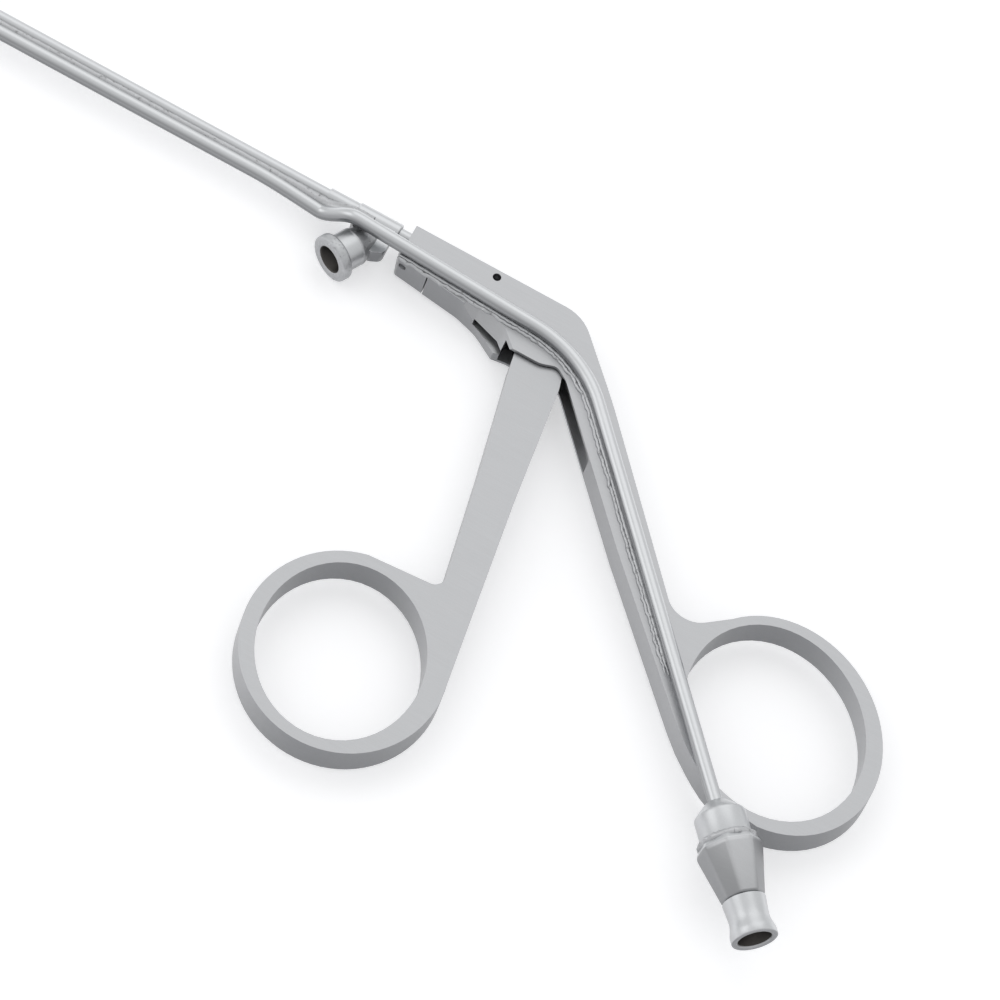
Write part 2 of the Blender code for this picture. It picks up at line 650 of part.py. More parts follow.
def tooth_grooves(name, level):
    """Row of cross grooves that leaves teeth on a jaw's biting face."""
    bm = bmesh.new()
    side = TOOTH_DEPTH * math.sqrt(2)
    for index in range(round((JAW_LENGTH - 4.5) / TOOTH_PITCH)):
        groove = bmesh.ops.create_cube(bm, size=side)["verts"]
        bmesh.ops.rotate(bm, verts=groove, matrix=Matrix.Rotation(math.radians(45), 3, "Z"))
        bmesh.ops.scale(bm, vec=(1, 1, (2 * JAW_R + 1.2) / side), verts=groove)
        bmesh.ops.translate(bm, verts=groove,
                            vec=(JAW_TIP_X + 1.2 + index * TOOTH_PITCH, level, 0))
    return new_mesh(name, bm)


def make_lower_jaw():
    """Fixed lower jaw with its forked housing on the shaft's tip."""
    front, back = HOUSING_X
    lower = cylinder("lower_jaw", (front, 0, 0), (back, 0, 0), HOUSING_R, 28)
    chamfer(lower, 0.25)
    blade = cylinder("lower_blade", (JAW_TIP_X, 0, 0), (front + 1.9, 0, 0), JAW_R, 28)
    top = box("lower_blade_top_cutter", (JAW_TIP_X - 2, -JAW_GAP / 2, -4), (front + 0.8, 4, 4))
    socket = cylinder("housing_socket_cutter", (SHAFT_TIP_X - FIT - 0.05, 0, 0), (back + 2, 0, 0),
                      SHAFT_R + PIN_FIT, 24)
    fork = box("fork_slot_cutter", (front - 0.2, -SHAFT_R, -JAW_SLOT / 2),
               (SHAFT_TIP_X - FIT, 3, JAW_SLOT / 2))
    pin_hole = cross_pin("jaw_pivot_hole_cutter", JAW_PIVOT, 3, JAW_PIVOT_R + PIN_FIT, 16)
    join(lower, blade)
    cut(lower, top, fork, socket, pin_hole, tooth_grooves("lower_grooves", -JAW_GAP / 2))
    add(lower, materials["steel"])
    add(cross_pin("jaw_pivot_pin", JAW_PIVOT, HOUSING_R - 0.18, JAW_PIVOT_R, 16),
        materials["bright"])


def make_upper_jaw():
    """Upper jaw, drawn closed with its tail in the fork and then swung open."""
    x, y = JAW_PIVOT
    upper = cylinder("upper_jaw", (JAW_TIP_X, 0, 0), (x - 3.2, 0, 0), JAW_R, 28)
    bottom = box("upper_blade_cutter", (JAW_TIP_X - 2, -4, -4), (x - 2.5, JAW_GAP / 2, 4))
    pin_x, pin_y = x - HALF_TRAVEL, JAW_PIN[1]
    tail = plate("upper_tail", rounded([
        (x - 3.9, JAW_GAP / 2, 0), (x - 0.9, y - 0.3, 0.3), (x - 0.4, y - 0.5, 0.4),
        (x + 0.5, y - 0.4, 0.5), (x + 0.6, y + 0.7, 0.5), (pin_x + 0.6, pin_y + 0.3, 0.4),
        (x - 1.1, 1.0, 0.4), (x - 3.9, 1.0, 0)]), TAIL, FIT / 2 - JAW_SLOT / 2 + TAIL / 2 + 0.03)
    holes = [cross_pin("upper_pivot_hole_cutter", JAW_PIVOT, 3, JAW_PIVOT_R + PIN_FIT, 16),
             cross_pin("upper_drive_hole_cutter", (pin_x, pin_y), 3, JAW_PIN_R + JAW_FIT, 12)]
    grooves = tooth_grooves("upper_grooves", JAW_GAP / 2)
    join(upper, tail)
    cut(upper, bottom, grooves, *holes)
    pivot = Vector((x, y, 0)) * MM
    swing = (Matrix.Translation(pivot) @ Matrix.Rotation(-JAW_OPENING, 4, "Z")
             @ Matrix.Translation(-pivot))
    for piece in (upper, tail, bottom, grooves, *holes):
        piece.data.transform(swing)
    add(upper, materials["steel"], JAW_PIVOT + (0,))


clear_scene()
part_collection = make_collection(OBJECT_NAME)
cutter_collection = make_collection("cutters")
datum = bpy.data.objects.new("datum", None)
part_collection.objects.link(datum)
datum.location = Vector(DATUM) * -MM
materials = {
    "steel": steel("satin_steel", STEEL, 0.38),
    "bright": steel("bright_steel", BRIGHT_STEEL, 0.25),
    "dark": steel("dark_steel", DARK_STEEL, 0.4),
}
make_handle_frame()
make_nose_insert()
make_front_handle()
make_lever_pins()
make_rod_head()
make_drive_rod()
make_shaft()
make_cleaning_port()
make_suction_tube()
make_suction_connector()
make_lower_jaw()
make_upper_jaw()
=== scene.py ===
import json
import math
import random

import bpy
from mathutils import Matrix, Vector

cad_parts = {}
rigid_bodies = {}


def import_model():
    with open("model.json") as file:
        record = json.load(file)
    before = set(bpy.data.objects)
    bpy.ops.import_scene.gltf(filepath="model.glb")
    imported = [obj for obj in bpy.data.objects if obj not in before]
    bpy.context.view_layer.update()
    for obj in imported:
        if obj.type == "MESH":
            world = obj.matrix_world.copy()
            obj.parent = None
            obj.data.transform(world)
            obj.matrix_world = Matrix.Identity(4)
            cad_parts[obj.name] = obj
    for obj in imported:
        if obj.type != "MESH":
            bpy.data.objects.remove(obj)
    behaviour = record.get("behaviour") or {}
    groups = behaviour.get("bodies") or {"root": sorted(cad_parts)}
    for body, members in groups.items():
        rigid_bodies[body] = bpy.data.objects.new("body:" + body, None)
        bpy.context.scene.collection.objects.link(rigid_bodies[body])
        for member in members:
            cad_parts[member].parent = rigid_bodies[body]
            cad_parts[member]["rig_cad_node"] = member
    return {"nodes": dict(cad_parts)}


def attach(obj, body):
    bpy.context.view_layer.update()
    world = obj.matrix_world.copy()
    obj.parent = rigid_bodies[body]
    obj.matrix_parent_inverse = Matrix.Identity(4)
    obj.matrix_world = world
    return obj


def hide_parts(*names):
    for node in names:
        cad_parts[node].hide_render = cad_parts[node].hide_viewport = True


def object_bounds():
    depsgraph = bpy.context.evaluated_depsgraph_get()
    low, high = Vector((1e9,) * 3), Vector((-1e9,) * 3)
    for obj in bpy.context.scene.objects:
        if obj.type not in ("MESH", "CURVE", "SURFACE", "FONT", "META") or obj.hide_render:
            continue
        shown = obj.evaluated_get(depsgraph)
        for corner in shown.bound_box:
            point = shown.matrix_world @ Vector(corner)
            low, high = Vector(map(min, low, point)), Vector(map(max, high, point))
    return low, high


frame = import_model()
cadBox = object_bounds()
nodes = frame["nodes"]
mm = 0.001
print("frame loaded:", len(nodes), "nodes")

bpy.ops.object.select_all(action="DESELECT")


# Camera, at the photograph's angle

photoCamera = {
    "place": (98.80452, -585.98742, 911.21196),  # mm
    "turn": (29.51655, -11.53413, 26.61946),  # degrees
    "lens": 252.0,
}
bpy.ops.object.camera_add(
    location=[value * mm for value in photoCamera["place"]],
    rotation=[math.radians(value) for value in photoCamera["turn"]])
camera = bpy.context.active_object
camera.name = "photoCamera"
camera.data.lens = photoCamera["lens"]
camera.data.sensor_width = 36.0
camera.data.clip_start = 0.05
camera.data.clip_end = 20.0
bpy.context.scene.camera = camera
print("camera placed")


# Shader groups that the steels share

def newGroup(name, inputs, outputs):
    group = bpy.data.node_groups.new(name, "ShaderNodeTree")
    for label, kind, value in inputs:
        socket = group.interface.new_socket(name=label, in_out="INPUT", socket_type=kind)
        socket.default_value = value
    for label, kind in outputs:
        group.interface.new_socket(name=label, in_out="OUTPUT", socket_type=kind)
    return group


def addNode(tree, kind, **settings):
    node = tree.nodes.new(kind)
    for key, value in settings.items():
        setattr(node, key, value)
    return node


def mathNode(tree, operation, first, second=None):
    node = addNode(tree, "ShaderNodeMath", operation=operation)
    for slot, value in enumerate((first, second)):
        if value is None:
            continue
        if isinstance(value, (int, float)):
            node.inputs[slot].default_value = value
        else:
            tree.links.new(value, node.inputs[slot])
    return node.outputs[0]


def rangeNode(tree, value, low, high, newLow, newHigh):
    node = addNode(tree, "ShaderNodeMapRange", interpolation_type="SMOOTHSTEP")
    tree.links.new(value, node.inputs["Value"])
    for label, number in (("From Min", low), ("From Max", high),
                          ("To Min", newLow), ("To Max", newHigh)):
        if isinstance(number, (int, float)):
            node.inputs[label].default_value = number
        else:
            tree.links.new(number, node.inputs[label])
    return node.outputs[0]


def mixNode(tree, factor, first, second, blend="MIX"):
    node = addNode(tree, "ShaderNodeMix", data_type="RGBA", blend_type=blend)
    for label, value in ((0, factor), (6, first), (7, second)):
        if isinstance(value, (int, float, tuple)):
            node.inputs[label].default_value = value
        else:
            tree.links.new(value, node.inputs[label])
    return node.outputs[2]


def noiseNode(tree, vector, scale, detail=3.0, rough=0.55):
    node = addNode(tree, "ShaderNodeTexNoise")
    tree.links.new(vector, node.inputs["Vector"])
    if isinstance(scale, (int, float)):
        node.inputs["Scale"].default_value = scale
    else:
        tree.links.new(scale, node.inputs["Scale"])
    node.inputs["Detail"].default_value = detail
    node.inputs["Roughness"].default_value = rough
    return node.outputs["Fac"]


# painted light and shade: how far each surface faces up, away and back sets its colour
shadeByFacing = {"flat": 0.87, "away": 0.38, "back": -0.3, "lowest": -0.48}  # light by facing


# Painted shade: surfaces turned up are painted light, walls are painted darker, and the darkest
# walls are painted as deep shade.
def buildPaintedShadeGroup():  # flat faces light, sides darker, darkest where they face the rings
    tree = newGroup("steelPaintedShade", [
        ("Face Colour", "NodeSocketColor", (0.6, 0.61, 0.62, 1)),
        ("Side Colour", "NodeSocketColor", (0.4, 0.41, 0.42, 1)),
        ("Low Side Colour", "NodeSocketColor", (0.25, 0.255, 0.265, 1)),
        ("Side Level", "NodeSocketFloat", 0.2),
        ("Face Level", "NodeSocketFloat", 0.85),
    ], [("Colour", "NodeSocketColor"), ("Face Mask", "NodeSocketFloat")])
    entry = addNode(tree, "NodeGroupInput")
    leave = addNode(tree, "NodeGroupOutput")
    coords = addNode(tree, "ShaderNodeTexCoord")
    split = addNode(tree, "ShaderNodeSeparateXYZ")
    tree.links.new(coords.outputs["Normal"], split.inputs[0])
    upright = mathNode(tree, "MULTIPLY", mathNode(tree, "ABSOLUTE", split.outputs["Z"]),
                       shadeByFacing["flat"])
    across = mathNode(tree, "MULTIPLY", split.outputs["Y"], shadeByFacing["away"])
    along = mathNode(tree, "MULTIPLY", split.outputs["X"], shadeByFacing["back"])
    level = mathNode(tree, "ADD", mathNode(tree, "ADD", upright, across), along)
    deepShadeMask = rangeNode(tree, level, shadeByFacing["lowest"], entry.outputs["Side Level"], 0.0, 1.0)
    litFaceMask = rangeNode(tree, level, entry.outputs["Side Level"], entry.outputs["Face Level"],
                         0.0, 1.0)
    side = mixNode(tree, deepShadeMask, entry.outputs["Low Side Colour"], entry.outputs["Side Colour"])
    colour = mixNode(tree, litFaceMask, side, entry.outputs["Face Colour"])
    tree.links.new(colour, leave.inputs["Colour"])
    tree.links.new(litFaceMask, leave.inputs["Face Mask"])
    return tree


satinPattern = {"cloud": 85.0, "grain": 5200.0, "strokes": (180.0, 3400.0, 900.0),
                "strokeTurn": 40.0, "strokeHeight": 0.5, "roughSpread": 0.16}


def buildSatinGroup():  # cloudy tone, fine blasted grain and faint polishing strokes
    tree = newGroup("satinFinish", [
        ("Colour", "NodeSocketColor", (0.6, 0.6, 0.6, 1)),
        ("Cloud", "NodeSocketFloat", 0.08),
        ("Grain", "NodeSocketFloat", 0.06),
        ("Strokes", "NodeSocketFloat", 0.05),
        ("Roughness", "NodeSocketFloat", 0.36),
    ], [("Colour", "NodeSocketColor"), ("Roughness", "NodeSocketFloat"),
        ("Height", "NodeSocketFloat")])
    entry = addNode(tree, "NodeGroupInput")
    leave = addNode(tree, "NodeGroupOutput")
    coords = addNode(tree, "ShaderNodeTexCoord")
    place = coords.outputs["Object"]
    cloud = noiseNode(tree, place, satinPattern["cloud"], 3.0, 0.5)
    grain = noiseNode(tree, place, satinPattern["grain"], 2.0, 0.6)
    stretch = addNode(tree, "ShaderNodeMapping")
    stretch.inputs["Rotation"].default_value = (0, 0, math.radians(satinPattern["strokeTurn"]))
    stretch.inputs["Scale"].default_value = satinPattern["strokes"]
    tree.links.new(place, stretch.inputs["Vector"])
    strokes = noiseNode(tree, stretch.outputs[0], 1.0, 4.0, 0.65)
    tone = 1.0
    for mask, amount in ((cloud, "Cloud"), (grain, "Grain"), (strokes, "Strokes")):
        centred = mathNode(tree, "SUBTRACT", mask, 0.5)
        weighted = mathNode(tree, "MULTIPLY", centred, entry.outputs[amount])
        doubled = mathNode(tree, "MULTIPLY", weighted, 2.0)
        tone = mathNode(tree, "ADD", doubled, tone)
    scale = addNode(tree, "ShaderNodeVectorMath", operation="SCALE")
    tree.links.new(entry.outputs["Colour"], scale.inputs[0])
    tree.links.new(tone, scale.inputs["Scale"])
    tree.links.new(scale.outputs[0], leave.inputs["Colour"])
    rough = mathNode(tree, "SUBTRACT", cloud, 0.5)
    rough = mathNode(tree, "MULTIPLY", rough, satinPattern["roughSpread"])
    rough = mathNode(tree, "ADD", rough, entry.outputs["Roughness"])
    tree.links.new(rough, leave.inputs["Roughness"])
    height = mathNode(tree, "MULTIPLY", strokes, satinPattern["strokeHeight"])
    height = mathNode(tree, "ADD", height, grain)
    tree.links.new(height, leave.inputs["Height"])
    return tree


pitLevels = {"pit": (0.56, 0.7), "speck": (0.30, 0.42)}


def buildPitGroup():  # small cast pits and bright specks, as on solder and the lock flange
    tree = newGroup("castPits", [
        ("Scale", "NodeSocketFloat", 1500.0),
        ("Amount", "NodeSocketFloat", 0.5),
    ], [("Mask", "NodeSocketFloat"), ("Bright", "NodeSocketFloat"), ("Height", "NodeSocketFloat")])
    entry = addNode(tree, "NodeGroupInput")
    leave = addNode(tree, "NodeGroupOutput")
    coords = addNode(tree, "ShaderNodeTexCoord")
    coarse = noiseNode(tree, coords.outputs["Object"], entry.outputs["Scale"], 4.0, 0.7)
    pits = rangeNode(tree, coarse, *pitLevels["pit"], 0.0, 1.0)
    bright = rangeNode(tree, coarse, *pitLevels["speck"], 1.0, 0.0)
    for mask, label in ((pits, "Mask"), (bright, "Bright")):
        scaled = mathNode(tree, "MULTIPLY", mask, entry.outputs["Amount"])
        tree.links.new(scaled, leave.inputs[label])
    tree.links.new(coarse, leave.inputs["Height"])
    return tree


paintedShadeGroup = buildPaintedShadeGroup()
satinGroup = buildSatinGroup()
pitGroup = buildPitGroup()
print("shader groups made")


def placeGroup(tree, group, values):
    node = addNode(tree, "ShaderNodeGroup", node_tree=group)
    for label, value in values.items():
        node.inputs[label].default_value = value
    return node


def makeSteel(name, finish):
    material = bpy.data.materials.new(name)
    material.use_nodes = True
    tree = material.node_tree
    shader = tree.nodes["Principled BSDF"]
    shader.inputs["Metallic"].default_value = 1.0
    # painted shade: the face, side and low colours are laid on by which way each surface faces
    tone = placeGroup(tree, paintedShadeGroup, {
        "Face Colour": finish["face"] + (1,), "Side Colour": finish["side"] + (1,),
        "Low Side Colour": finish["low"] + (1,),
        "Side Level": finish["levels"][0], "Face Level": finish["levels"][1]})
    satin = placeGroup(tree, satinGroup, {
        "Cloud": finish["cloud"], "Grain": finish["grain"], "Strokes": finish["strokes"],
        "Roughness": finish["roughness"]})
    tree.links.new(tone.outputs["Colour"], satin.inputs["Colour"])
    colour, height = satin.outputs["Colour"], satin.outputs["Height"]
    if "pits" in finish:
        pits = placeGroup(tree, pitGroup, {"Scale": finish["pits"][0], "Amount": finish["pits"][1]})
        colour = mixNode(tree, pits.outputs["Mask"], colour, finish["pitColour"] + (1,))
        colour = mixNode(tree, pits.outputs["Bright"], colour, finish["speckColour"] + (1,))
        height = mathNode(tree, "SUBTRACT", pits.outputs["Bright"], pits.outputs["Mask"])
    tree.links.new(colour, shader.inputs["Base Color"])
    tree.links.new(satin.outputs["Roughness"], shader.inputs["Roughness"])
    bump = addNode(tree, "ShaderNodeBump")
    bump.inputs["Strength"].default_value = finish["bump"]
    bump.inputs["Distance"].default_value = finish.get("bumpDepth", 0.00003)
    tree.links.new(height, bump.inputs["Height"])
    tree.links.new(bump.outputs["Normal"], shader.inputs["Normal"])
    return material


# face, side and low are painted light and shade: the face colour is painted where a surface faces
# up, on tubes as a painted highlight along the top, and the darker side and low colours are painted
# shade on walls and flanks
steelFinishes = {
    "handleSteel": {"face": (0.53, 0.535, 0.545), "side": (0.41, 0.413, 0.422),
                    "low": (0.25, 0.254, 0.263), "levels": (0.05, 0.85), "cloud": 0.07,
                    "grain": 0.05, "strokes": 0.05, "roughness": 0.38, "bump": 0.18},
    "tubeSteel": {"face": (0.69, 0.70, 0.71), "side": (0.31, 0.314, 0.322),
                  "low": (0.20, 0.204, 0.212), "levels": (0.08, 0.76), "cloud": 0.05,
                  "grain": 0.03, "strokes": 0.04, "roughness": 0.3, "bump": 0.08},
    "fittingSteel": {"face": (0.66, 0.67, 0.68), "side": (0.50, 0.505, 0.515),
                     "low": (0.31, 0.315, 0.325), "levels": (-0.1, 0.75), "cloud": 0.08,
                     "grain": 0.05, "strokes": 0.04, "roughness": 0.34, "bump": 0.15},
    "coneSteel": {"face": (0.57, 0.575, 0.585), "side": (0.345, 0.348, 0.356),
                  "low": (0.27, 0.274, 0.282), "levels": (0.5, 0.76), "cloud": 0.07,
                  "grain": 0.05, "strokes": 0.05, "roughness": 0.36, "bump": 0.15},
    "flangeSteel": {"face": (0.58, 0.59, 0.60), "side": (0.46, 0.465, 0.475),
                    "low": (0.38, 0.385, 0.395), "levels": (0.0, 0.8), "cloud": 0.1,
                    "grain": 0.08, "strokes": 0.03, "roughness": 0.36, "bump": 0.7,
                    "bumpDepth": 0.00012, "pits": (2600.0, 0.55), "pitColour": (0.18, 0.18, 0.185),
                    "speckColour": (0.75, 0.76, 0.77)},
    "solderSteel": {"face": (0.56, 0.565, 0.575), "side": (0.42, 0.425, 0.435),
                    "low": (0.26, 0.265, 0.27), "levels": (0.0, 0.75), "cloud": 0.12,
                    "grain": 0.08, "strokes": 0.03, "roughness": 0.38, "bump": 0.6,
                    "bumpDepth": 0.0001, "pits": (1300.0, 0.6), "pitColour": (0.14, 0.14, 0.14),
                    "speckColour": (0.78, 0.79, 0.8)},
    # painted shade: a near-black steel for the insides of bores
    "paintedBoreShade": {"face": (0.10, 0.094, 0.088), "side": (0.085, 0.08, 0.075),
                  "low": (0.06, 0.056, 0.053), "levels": (0.15, 0.85), "cloud": 0.15,
                  "grain": 0.1, "strokes": 0.05, "roughness": 0.5, "bump": 0.2},
    "rodSteel": {"face": (0.45, 0.455, 0.465), "side": (0.33, 0.335, 0.345),
                 "low": (0.22, 0.225, 0.23), "levels": (0.15, 0.85), "cloud": 0.08,
                 "grain": 0.05, "strokes": 0.05, "roughness": 0.35, "bump": 0.15},
}
steels = {name: makeSteel(name, finish) for name, finish in steelFinishes.items()}
print("steels made:", len(steels))


# Helpers for the pieces

def pickOnly(piece):
    bpy.ops.object.select_all(action="DESELECT")
    piece.select_set(True)
    bpy.context.view_layer.objects.active = piece


def applyModifiers(piece):
    pickOnly(piece)
    for modifier in list(piece.modifiers):
        bpy.ops.object.modifier_apply(modifier=modifier.name)


def closeMesh(piece):  # merges doubles and turns the faces outwards
    pickOnly(piece)
    bpy.ops.object.mode_set(mode="EDIT")
    bpy.ops.mesh.select_all(action="SELECT")
    bpy.ops.mesh.remove_doubles(threshold=0.001 * mm)
    bpy.ops.mesh.normals_make_consistent(inside=False)
    bpy.ops.mesh.select_all(action="DESELECT")
    bpy.ops.object.mode_set(mode="OBJECT")


def settle(piece):  # puts the place and turn into the mesh
    pickOnly(piece)
    bpy.ops.object.transform_apply(location=True, rotation=True, scale=True)


def shadeSmooth(piece, angle=40.0, weighted=False):
    pickOnly(piece)
    bpy.ops.object.shade_smooth_by_angle(angle=math.radians(angle))
    if weighted:
        even = piece.modifiers.new("evenNormals", "WEIGHTED_NORMAL")
        even.keep_sharp = True
        applyModifiers(piece)


def finishPiece(piece, body, steel, slot, *nodeNames):
    piece.data.materials.clear()
    piece.data.materials.append(steels[steel])
    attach(piece, body)
    if nodeNames:
        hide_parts(*nodeNames)
    return piece


def copyNode(nodeName, name):  # a merged copy of a CAD solid, flat faces joined up again
    pickOnly(nodes[nodeName])
    bpy.ops.object.duplicate()
    piece = bpy.context.active_object
    piece.name = piece.data.name = name
    piece.parent = None
    del piece["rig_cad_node"]
    bpy.ops.object.mode_set(mode="EDIT")
    bpy.ops.mesh.select_all(action="SELECT")
    bpy.ops.mesh.remove_doubles(threshold=0.002 * mm)
    bpy.ops.mesh.dissolve_limited(angle_limit=math.radians(0.6))
    bpy.ops.mesh.select_all(action="DESELECT")
    bpy.ops.object.mode_set(mode="OBJECT")
    return piece


def softenEdges(piece, width, segments, angle):
    bevel = piece.modifiers.new("softEdges", "BEVEL")
    bevel.width = width * mm
    bevel.segments = segments
    bevel.limit_method = "ANGLE"
    bevel.angle_limit = math.radians(angle)
    bevel.use_clamp_overlap = True
    applyModifiers(piece)


def dressNode(nodeName, name, body, steel, sizes):  # a softened copy stands for the node
    piece = copyNode(nodeName, name)
    softenEdges(piece, sizes["edge"], sizes["steps"], sizes["sharper"])
    shadeSmooth(piece, sizes["smooth"], weighted=True)
    return finishPiece(piece, body, steel, "satin_steel", nodeName)


def turnPiece(name, rings, at, towards, sides=96, facing=None):  # rings: (distance, radius) mm
    bpy.ops.object.select_all(action="DESELECT")
    firstDistance, firstRadius = rings[0]
    bpy.ops.mesh.primitive_circle_add(vertices=sides, radius=max(firstRadius, 0.0001) * mm)
    piece = bpy.context.active_object
    piece.name = piece.data.name = name
    bpy.ops.object.mode_set(mode="EDIT")
    bpy.ops.mesh.select_all(action="SELECT")
    bpy.ops.transform.translate(value=(0, 0, firstDistance * mm))
    radius, distance = max(firstRadius, 0.0001), firstDistance
    for nextDistance, nextRadius in rings[1:]:
        nextRadius = max(nextRadius, 0.0001)
        bpy.ops.mesh.extrude_region_move(
            TRANSFORM_OT_translate={"value": (0, 0, (nextDistance - distance) * mm)})
        grow = nextRadius / radius
        bpy.ops.transform.resize(value=(grow, grow, 1), center_override=(0, 0, nextDistance * mm))
        radius, distance = nextRadius, nextDistance
    bpy.ops.object.mode_set(mode="OBJECT")
    closeMesh(piece)
    piece.rotation_mode = "QUATERNION"
    turn = Vector(towards).to_track_quat("Z", "Y")
    if facing:  # turns one of its edges this way
        edge = turn.inverted() @ Vector(facing)
        turn = turn @ Vector((edge.x, edge.y, 0)).to_track_quat("Y", "Z")
    piece.rotation_quaternion = turn
    piece.location = Vector(at) * mm
    settle(piece)
    return piece


# painted shade: the faces inside a bore get the near-black steel
def addPaintedBoreShade(piece, at, towards, radius, start, end):  # darkens the faces inside a bore
    piece.data.materials.append(steels["paintedBoreShade"])
    slot = len(piece.data.materials) - 1
    origin, axis = Vector(at) * mm, Vector(towards).normalized()
    for face in piece.data.polygons:
        reach = (face.center - origin).dot(axis)
        away = (face.center - origin - axis * reach).length
        if away < radius * mm and start * mm < reach < end * mm:
            face.material_index = slot


# Handle frame, lever and nose insert

handleFrame = {"edge": 0.1, "steps": 2, "sharper": 32.0, "smooth": 50.0}
handleBody = dressNode("handle_frame", "handleBody", "frame", "handleSteel", handleFrame)
print("handle frame dressed")

leverPiece = {"edge": 0.1, "steps": 2, "sharper": 32.0, "smooth": 50.0}
frontLever = dressNode("front_handle", "frontLever", "front_lever", "handleSteel", leverPiece)

insertPiece = {"edge": 0.06, "steps": 2, "sharper": 32.0, "smooth": 50.0}
noseInsert = dressNode("nose_insert", "noseInsert", "frame", "handleSteel", insertPiece)
print("lever and nose insert dressed")


# Shaft, collar and cleaning port

shaftSizes = {"start": -223.3, "length": 226.7, "radius": 1.1, "bore": 0.8, "edge": 0.1,
              "level": 2.6}
shaftRings = [(0, shaftSizes["bore"]), (0, shaftSizes["radius"] - shaftSizes["edge"]),
              (shaftSizes["edge"], shaftSizes["radius"]),
              (shaftSizes["length"] - shaftSizes["edge"], shaftSizes["radius"]),
              (shaftSizes["length"], shaftSizes["radius"] - shaftSizes["edge"]),
              (shaftSizes["length"], shaftSizes["bore"]), (0, shaftSizes["bore"])]
outerShaft = turnPiece("outerShaft", shaftRings,
                       (shaftSizes["start"], 0, shaftSizes["level"]), (1, 0, 0), 64)
shadeSmooth(outerShaft, 40.0)
finishPiece(outerShaft, "frame", "tubeSteel", "bright_steel", "shaft_tube")

collarPiece = {"edge": 0.08, "steps": 2, "sharper": 30.0, "smooth": 42.0}
shaftCollar = dressNode("shaft_collar", "shaftCollar", "frame", "tubeSteel", collarPiece)

portSizes = {"mouth": (-12.5, -10.25, 2.6), "slant": 26.5, "length": 5.6,
             "flangeFrom": 3.75, "flangeInside": 2.3, "boreInside": 2.28, "boreTo": 5.45}
portSlant = math.radians(portSizes["slant"])
portAxis = Vector((-math.sin(portSlant), -math.cos(portSlant), 0))
portStart = Vector(portSizes["mouth"]) - portAxis * portSizes["length"]
portRings = [(0, 0.7), (0, 2.0), (0.12, 2.1), (0.3, 2.5), (0.5, 2.85), (0.8, 3.05), (1.1, 3.1),
             (3.35, 3.1), (3.6, 3.14), (3.72, 3.3), (3.85, 3.62), (4.0, 3.82), (4.25, 3.9),
             (5.2, 3.9), (5.42, 3.84), (5.55, 3.7), (5.6, 3.5), (5.6, 2.55), (5.52, 2.35),
             (5.3, 2.17), (1.4, 1.95), (1.2, 1.8), (1.2, 0.7), (0, 0.7)]
lockPort = turnPiece("lockPort", portRings, portStart, portAxis)
shadeSmooth(lockPort, 40.0)
finishPiece(lockPort, "frame", "fittingSteel", "satin_steel", "cleaning_port")
lockPort.data.materials.append(steels["flangeSteel"])
for face in lockPort.data.polygons:
    reach = (face.center - portStart * mm).dot(portAxis)
    away = (face.center - portStart * mm - portAxis * reach).length
    if reach > portSizes["flangeFrom"] * mm and away > portSizes["flangeInside"] * mm:
        face.material_index = 1
addPaintedBoreShade(lockPort, portStart, portAxis, portSizes["boreInside"], 0.1, portSizes["boreTo"])
print("shaft, collar and port made")


# Suction tube and its solder

tubeSizes = {"radius": 1.15, "wall": 0.3, "level": 6.45, "tip": (-220.4, -2.38),
             "sway": (-30.0, -11.0), "rise": (-18.0, -11.8), "onFrame": -3.56,
             "bend": (29.3, -5.75, 21.0), "entry": (80.59, -64.27), "angle": -49.2,
             "inFerrule": 3.0, "swaySteps": 48, "runOn": (1.0, -0.06), "bendSteps": 28}


def eased(x, stretch):
    share = min(1.0, max(0.0, (x - stretch[0]) / (stretch[1] - stretch[0])))
    return share * share * (3 - 2 * share)


def tubePoints(sizes):  # the centre line, in the row's millimetres
    low = shaftSizes["level"]
    points = [Vector((*sizes["tip"], low))]
    first, last = sizes["sway"]
    for part in range(sizes["swaySteps"] + 1):
        x = first + (last - first) * part / sizes["swaySteps"]
        points.append(Vector((x, sizes["tip"][1] + (sizes["onFrame"] - sizes["tip"][1])
                              * eased(x, sizes["sway"]),
                              low + (sizes["level"] - low) * eased(x, sizes["rise"]))))
    turn = math.radians(sizes["angle"])
    along = Vector((math.cos(turn), math.sin(turn)))
    end = Vector(sizes["entry"]) + along * sizes["inFerrule"]
    start = Vector((last + sizes["runOn"][0], sizes["onFrame"] + sizes["runOn"][1]))
    corner = Vector(sizes["bend"][:2])
    before, after = (start - corner).normalized(), (end - corner).normalized()
    sweep = math.pi - before.angle(after)
    reach = sizes["bend"][2] * math.tan(sweep / 2)
    middle = corner + (before + after).normalized() * sizes["bend"][2] / math.cos(sweep / 2)
    arm = corner + before * reach - middle
    points.append(Vector((start.x, start.y, sizes["level"])))
    for part in range(sizes["bendSteps"] + 1):
        turned = arm.copy()
        turned.rotate(Matrix.Rotation(-sweep * part / sizes["bendSteps"], 2))
        points.append(Vector((*(middle + turned), sizes["level"])))
    points.append(Vector((end.x, end.y, sizes["level"])))
    return points


def curveTube(name, points, radius, resolution=8, radii=None, caps=False):
    curve = bpy.data.curves.new(name, "CURVE")
    curve.dimensions = "3D"
    curve.bevel_depth = radius * mm
    curve.bevel_resolution = resolution
    curve.use_fill_caps = caps
    spline = curve.splines.new("POLY")
    spline.points.add(len(points) - 1)
    for index, point in enumerate(points):
        spline.points[index].co = (*(point * mm), 1)
        if radii:
            spline.points[index].radius = radii[index]
    source = bpy.data.objects.new(name, curve)
    bpy.context.scene.collection.objects.link(source)
    pickOnly(source)
    bpy.ops.object.convert(target="MESH")
    return bpy.context.active_object


